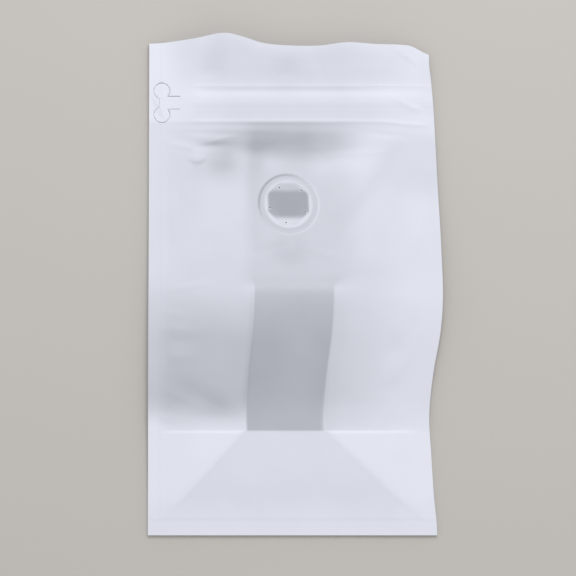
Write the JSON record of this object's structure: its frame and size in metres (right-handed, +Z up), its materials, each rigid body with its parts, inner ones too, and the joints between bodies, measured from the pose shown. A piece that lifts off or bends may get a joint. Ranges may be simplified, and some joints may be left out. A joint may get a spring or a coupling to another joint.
{
  "type": "flat bottom coffee bag",
  "caption": "Empty flat bottom coffee bag folded flat: white film panels, tucked side and base gussets, press zipper with tear tab, one-way valve",
  "frame": {"origin": "on the surface that the bag lies on, under the middle of its outline", "axes": "+X across the bag to the right as the front is seen, +Y from the base to the mouth, +Z up out of the front"},
  "size_m": [0.1222, 0.2084, 0.0095],
  "materials": {
    "film": "matte white laminate film, slightly see-through",
    "zipper_plastic": "milky polyethylene",
    "valve_plastic": "milky moulded polyethylene",
    "valve_rubber": "smooth dark rubber",
    "filter_paper": "uncoated filter paper"
  },
  "bodies": {
    "root": {"front_panel": "film", "back_panel": "film", "bottom_gusset": "film", "left_side_gusset": "film", "right_side_gusset": "film", "zipper_upper_tape": "zipper_plastic", "zipper_lower_tape": "zipper_plastic", "valve_base": "valve_plastic", "valve_disc": "valve_rubber", "valve_cap": "valve_plastic", "valve_filter": "filter_paper"}
  },
  "joints": []
}
